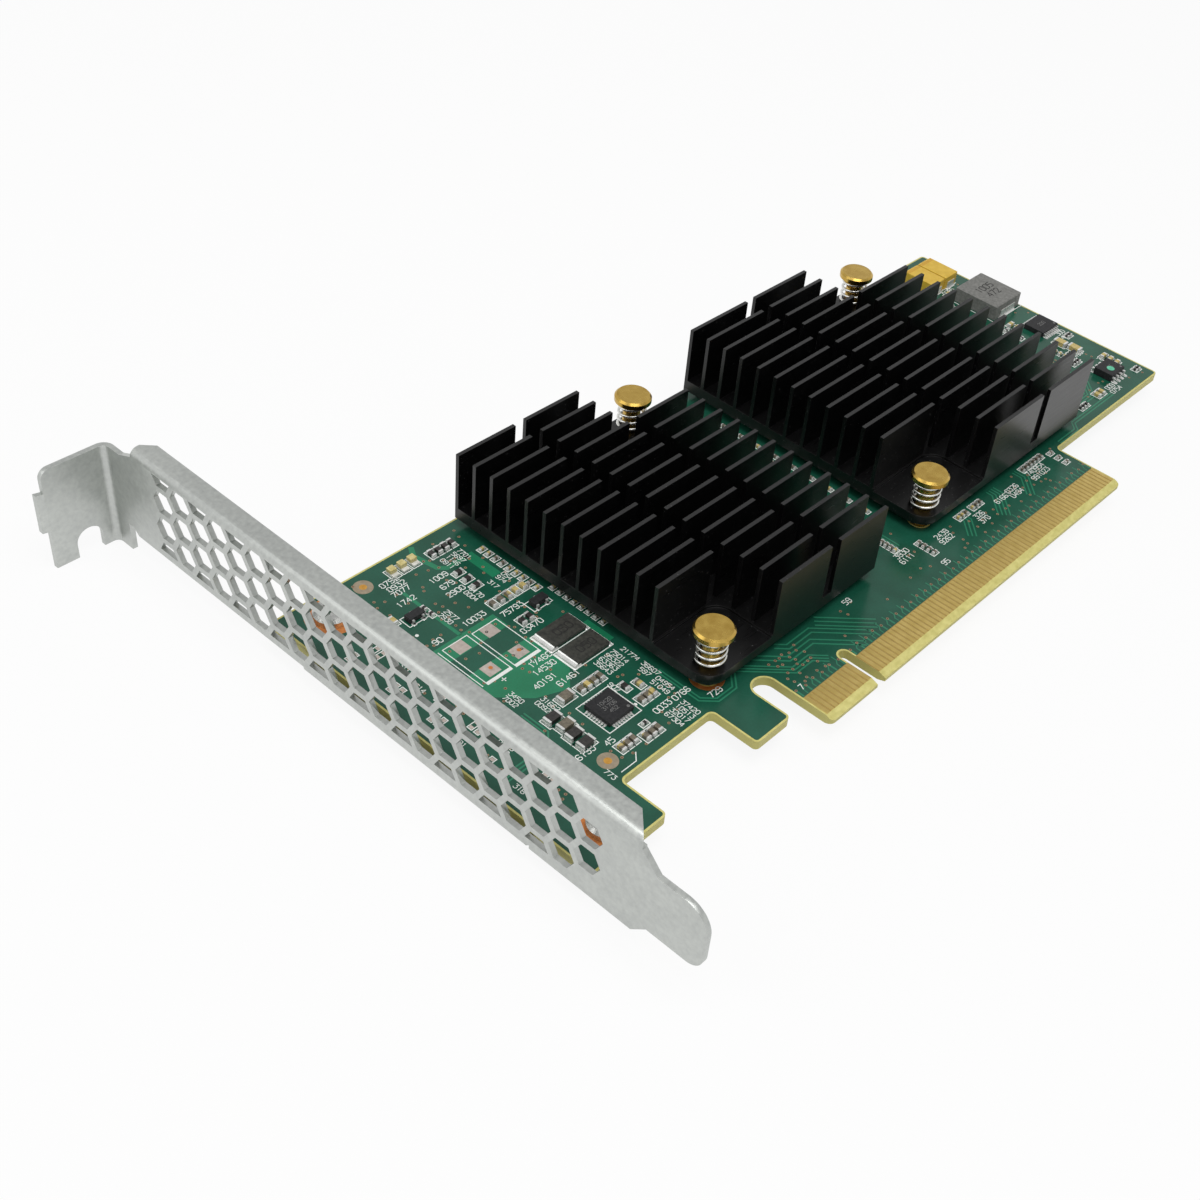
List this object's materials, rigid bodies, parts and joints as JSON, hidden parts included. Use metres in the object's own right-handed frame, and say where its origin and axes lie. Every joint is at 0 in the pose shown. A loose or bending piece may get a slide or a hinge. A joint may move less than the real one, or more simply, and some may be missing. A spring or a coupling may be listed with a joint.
{
  "type": "compression accelerator card",
  "caption": "Low-profile server accelerator card: black finned heat sinks held by sprung brass pins, a gold edge connector and a full-height vented steel bracket.",
  "frame": {"origin": "middle of the connector's key notch, at the connector's edge and on the board's component side", "axes": "+X along the card from the bracket to the far end, +Y from the connector to the back edge, +Z out of the component side"},
  "size_m": [0.1804, 0.12, 0.0208],
  "materials": {
    "laminate": "green solder mask over glass-fibre laminate, satin gloss",
    "gold_plating": "thin gold plating, satin",
    "bracket_steel": "zinc-plated sheet, mottled satin",
    "screw_steel": "bright plated",
    "black_aluminium": "black anodised, satin",
    "pin_brass": "turned and polished",
    "spring_steel": "bright drawn wire",
    "thermal_filler": "soft matte filler",
    "processor_case": "moulded package, matte",
    "inductor_core": "pressed iron powder, matte",
    "tantalum_case": "moulded resin, satin",
    "chip_case": "moulded resin, matte",
    "resistor_glaze": "black glaze, gloss",
    "ceramic_block": "fired ceramic, matte",
    "tinned_metal": "bright tin",
    "light_lens": "clear resin with a cream filling",
    "light_base": "white moulded base"
  },
  "bodies": {
    "root": {"bracket": "bracket_steel", "bracket_screws": "screw_steel", "capacitor_terminals": "tinned_metal", "ceramic_capacitors": "ceramic_block", "chip_resistors": "resistor_glaze", "circuit_board": "laminate", "contact_fingers_bottom": "gold_plating", "contact_fingers_top": "gold_plating", "controller_chip": "chip_case", "controller_pads": "tinned_metal", "heat_sink_front": "black_aluminium", "heat_sink_rear": "black_aluminium", "inductor_terminals": "tinned_metal", "light_bases": "light_base", "light_lenses": "light_lens", "memory_chip": "chip_case", "memory_leads": "tinned_metal", "pin_spring_1": "spring_steel", "pin_spring_2": "spring_steel", "pin_spring_3": "spring_steel", "pin_spring_4": "spring_steel", "power_inductor": "inductor_core", "processor_front": "processor_case", "processor_rear": "processor_case", "push_pin_1": "pin_brass", "push_pin_2": "pin_brass", "push_pin_3": "pin_brass", "push_pin_4": "pin_brass", "regulator_chip": "chip_case", "regulator_leads": "tinned_metal", "resistor_terminals": "tinned_metal", "sense_resistor_1": "resistor_glaze", "sense_resistor_2": "resistor_glaze", "sense_terminals": "tinned_metal", "tantalum_capacitor_1": "tantalum_case", "tantalum_capacitor_2": "tantalum_case", "tantalum_terminals": "tinned_metal", "thermal_pad_front": "thermal_filler", "thermal_pad_rear": "thermal_filler", "transistor_1": "chip_case", "transistor_2": "chip_case", "transistor_leads": "tinned_metal"}
  },
  "joints": []
}
